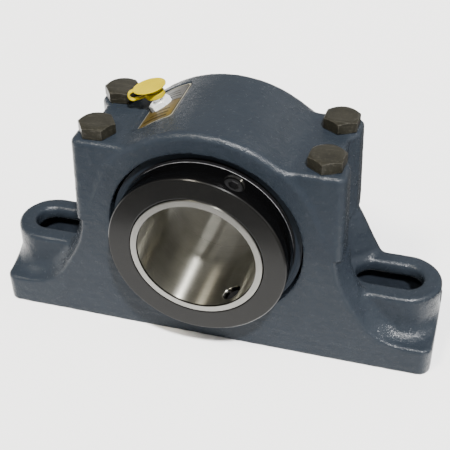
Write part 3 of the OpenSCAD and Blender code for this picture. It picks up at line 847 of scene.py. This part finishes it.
hx = place(hexagon("hexagon"), HEX_M @ Matrix.Rotation(math.radians(18.0), 4, "Z"))
arc = [(3.46 * math.sin(t), -3.46 * math.cos(t)) for t in np.linspace(0, 1.85, 14)]
nip = place(spin_z("nipple", arc + [(3.3, 1.2), (3.3, 4.8), (3.4, 5.0), (3.85, 5.55), (3.9, 5.7), (3.9, 6.3), (3.8, 6.5), (2.6, 7.25),
                                    (2.3, 7.3), (1.0, 7.3), (0.85, 7.2), (0.85, 6.7), (0, 6.65)], 96), NIP_M)
fit = sharpen(join("grease_nipple", [hx, nip]), 35.0)
finish_piece(fit, M_ZINC, "housing", "zinc", "grease_fitting")

STRAP = math.radians(202.0)


def yellow_field(x, y, z):
    rr = np.hypot(x, y)
    s = math.cos(STRAP) * x + math.sin(STRAP) * y
    w = -math.sin(STRAP) * x + math.cos(STRAP) * y
    rl = np.hypot(s - 2.0, w)
    lid = both(rl - 10.6, np.abs(z - 8.73) - 0.53, 0.45)
    lid = smax(lid, -both(rl - 9.4, 9.06 - z, 0.2), 0.4)
    skirt = both(rr - 5.3, np.abs(z - 6.85) - 1.65, 0.4)
    ring = both(rr - 6.3, np.abs(z - 2.75) - 1.85, 0.9)
    d = np.minimum(smin(lid, skirt, 0.8), ring)
    bend = np.maximum(np.abs(np.hypot(s - 13.3, z - 5.75) - 2.75) - 0.7, 13.3 - s)
    legs = np.minimum(np.maximum(np.abs(z - 3.0) - 0.7, np.maximum(4.5 - s, s - 13.3)),
                      np.maximum(np.abs(z - 8.5) - 0.7, np.maximum(9.0 - s, s - 13.3)))
    strap = both(np.minimum(bend, legs), np.abs(w) - 1.6, 0.5)
    d = smin(d, strap, 0.8)
    d = smax(d, -np.maximum(rr - 3.6, np.abs(z - 2.5) - 2.6), 0.3)
    return smax(d, -np.maximum(rr - 4.2, np.abs(z - 6.1) - 1.4), 0.3)


yc = field_mesh("yellow_cap", yellow_field, (-17.6, -11.8, 0.2), (10.6, 10.6, 10.0), 0.24)
place(yc, NIP_M)
finish_piece(yc, M_YELLOW, "grease_cap", "cap_yellow", "fitting_cap")


# ------------------------------------------------------------------- nameplate
def nameplate():
    """Thin curved plate: a silver border and panel, a gold panel, plain dark bars."""
    us = np.arange(-14.0, 13.5, 0.3)
    vs = np.arange(-17.0, 30.1, 0.3)

    def at(u, v, r):
        a = PLATE_A + u / 75.1
        return np.array([-r * math.sin(a), v, AXIS + r * math.cos(a)])

    verts, index, faces, mats = [], {}, [], []

    def vert(i, j, k):
        if (i, j, k) not in index:
            index[i, j, k] = len(verts)
            verts.append(at(us[i], vs[j], (74.25, 75.1)[k]))
        return index[i, j, k]

    def shade(u, v):
        edge = plate_outline(u, v)
        if edge > -0.8:
            return 3
        if edge > -1.5:
            return 2
        v = v - 8.6
        if v < 1.5:
            for k in range(3):
                if abs(v + 17.2 - k * 4.4) < 0.8 and abs(u - 0.5 + k * 1.5) < 9.0 - k * 1.8:
                    return 2
            return 1
        if v < 2.3:
            return 2
        for k in range(3):
            if abs(v - 7.0 - k * 3.6) < 0.45 and abs(u + 2.0) < 9.0 - k * 2.0:
                return 2
        return 0

    cells = set()
    for i in range(len(us) - 1):
        for j in range(len(vs) - 1):
            u, v = (us[i] + us[i + 1]) / 2, (vs[j] + vs[j + 1]) / 2
            p = at(u, v, 74.7)
            w = from_fitting(*p)[1]
            if plate_outline(u, v) < 0 and w > 8.3:
                cells.add((i, j))
    for i, j in sorted(cells):
        u, v = (us[i] + us[i + 1]) / 2, (vs[j] + vs[j + 1]) / 2
        faces.append((vert(i, j, 1), vert(i, j + 1, 1), vert(i + 1, j + 1, 1), vert(i + 1, j, 1)))
        mats.append(shade(u, v))
        faces.append((vert(i, j, 0), vert(i + 1, j, 0), vert(i + 1, j + 1, 0), vert(i, j + 1, 0)))
        mats.append(0)
        for di, dj, p, q in ((-1, 0, (i, j), (i, j + 1)), (1, 0, (i + 1, j), (i + 1, j + 1)),
                             (0, -1, (i, j), (i + 1, j)), (0, 1, (i, j + 1), (i + 1, j + 1))):
            if (i + di, j + dj) not in cells:
                faces.append((vert(*p, 0), vert(*q, 0), vert(*q, 1), vert(*p, 1)))
                mats.append(0)
    ob = new_object("blank_plate", verts, faces)
    for m in (M_SILVER, M_GOLD, M_INK, M_EDGE):
        ob.data.materials.append(m)
    ob.data.polygons.foreach_set("material_index", mats)
    fix_normals(ob)
    sharpen(ob, 35.0)
    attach(ob, "housing")
    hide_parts("nameplate")
    return ob


nameplate()

# ------------------------------------------------ CAD nodes that stay as they are
for names, mat in ((("dowel_pins", "anti_rotation_pin", "check_ball", "check_spring", "front_rollers", "rear_rollers"), M_RACE),
                   (("bearing_cartridge",), M_CARRIER),
                   (("front_cup", "rear_cup", "cup_spacer", "front_retaining_ring", "rear_retaining_ring"), M_RACE),
                   (("front_cage", "rear_cage"), M_CAGE)):
    for nm in names:
        nodes[nm].data.materials.clear()
        nodes[nm].data.materials.append(mat)

# ------------------------------------------------------- floor, light and camera
fm = Nodes("pale_floor")
fm.set(Base_Color=fm.ramp(fm.noise(2.0, 2.0), [(0.3, (0.86, 0.86, 0.86)), (0.7, (0.88, 0.88, 0.88))]), Roughness=0.9)
floor = new_object("floor", [(-4000, -4000, -0.3), (4000, -4000, -0.3), (4000, 4000, -0.3), (-4000, 4000, -0.3)], [(0, 1, 2, 3)])
floor.data.materials.append(fm.mat)

# dark cards that only reflections meet: in front of the view and to the right
dk = Nodes("dark_card")
dk.set(Base_Color=dk.ramp(dk.noise(3.0, 2.0), [(0.3, (0.030, 0.030, 0.030)), (0.7, (0.040, 0.040, 0.040))]), Roughness=0.9)
for nm, (cx0, cx1, cy0, cy1) in (("front_card", (-2500, 2500, -3000, -178)), ("side_card", (75, 2500, 42, 2500)), ("right_card", (195, 2500, -178, 42))):
    card = new_object(nm, [(cx0, cy0, 0.6), (cx1, cy0, 0.6), (cx1, cy1, 0.6), (cx0, cy1, 0.6)], [(0, 1, 2, 3)])
    card.data.materials.append(dk.mat)
    card.visible_camera = card.visible_shadow = card.visible_diffuse = False

world = bpy.data.worlds.new("studio")
bpy.context.scene.world = world
world.use_nodes = True
bg = world.node_tree.nodes["Background"]
bg.inputs["Color"].default_value = (1.0, 0.965, 0.91, 1)
bg.inputs["Strength"].default_value = 0.48


def area(name, loc, target, size, power, color=(1, 1, 1)):
    d = bpy.data.lights.new(name, "AREA")
    d.shape = "RECTANGLE"
    d.size, d.size_y = size
    d.energy = power
    d.color = color
    o = bpy.data.objects.new(name, d)
    COL.objects.link(o)
    o.location = loc
    o.rotation_euler = (Vector(target) - Vector(loc)).to_track_quat("-Z", "Y").to_euler()
    return o


sd = bpy.data.lights.new("key", "SUN")
sd.energy = 2.6
sd.angle = math.radians(12.0)
sd.color = (1.0, 0.93, 0.79)
sun = bpy.data.objects.new("key", sd)
COL.objects.link(sun)
sun.rotation_euler = Vector((0.30, 0.48, -0.82)).to_track_quat("-Z", "Y").to_euler()

sd2 = bpy.data.lights.new("second", "SUN")
sd2.energy = 11.0
sd2.angle = math.radians(4.0)
sun2 = bpy.data.objects.new("second", sd2)
COL.objects.link(sun2)
sun2.rotation_euler = Vector((-0.27, 0.48, -0.83)).to_track_quat("-Z", "Y").to_euler()

area("fill", (1.1, -0.2, 0.7), (0.08, 0.0, 0.08), (1.3, 1.3), 6.0)
area("back", (-0.28, 0.85, 0.78), (0.0, 0.0, 0.08), (0.5, 0.6), 0.5)
area("strip", (0.27, 0.95, 0.92), (0.0, 0.0, 0.06), (0.014, 0.8), 1.5)

AZ, EL, ROLL = math.radians(16.65), math.radians(36.94), math.radians(-0.91)
fwd = Vector((-math.sin(AZ) * math.cos(EL), math.cos(AZ) * math.cos(EL), -math.sin(EL)))
right = Vector((math.cos(AZ), math.sin(AZ), 0))
up = right.cross(fwd)
r2 = math.cos(ROLL) * right + math.sin(ROLL) * up
u2 = -math.sin(ROLL) * right + math.cos(ROLL) * up
cd = bpy.data.cameras.new("camera")
cd.sensor_fit = "HORIZONTAL"
cd.sensor_width = 36.0
cd.lens = 986.58 / 450.0 * 36.0
cd.clip_start, cd.clip_end = 0.02, 50.0
cam = bpy.data.objects.new("camera", cd)
COL.objects.link(cam)
cam.matrix_world = Matrix((
    (r2.x, u2.x, -fwd.x, 0.1501),
    (r2.y, u2.y, -fwd.y, -0.49417),
    (r2.z, u2.z, -fwd.z, 0.45521),
    (0, 0, 0, 1)))
bpy.context.scene.camera = cam

bpy.context.view_layer.update()
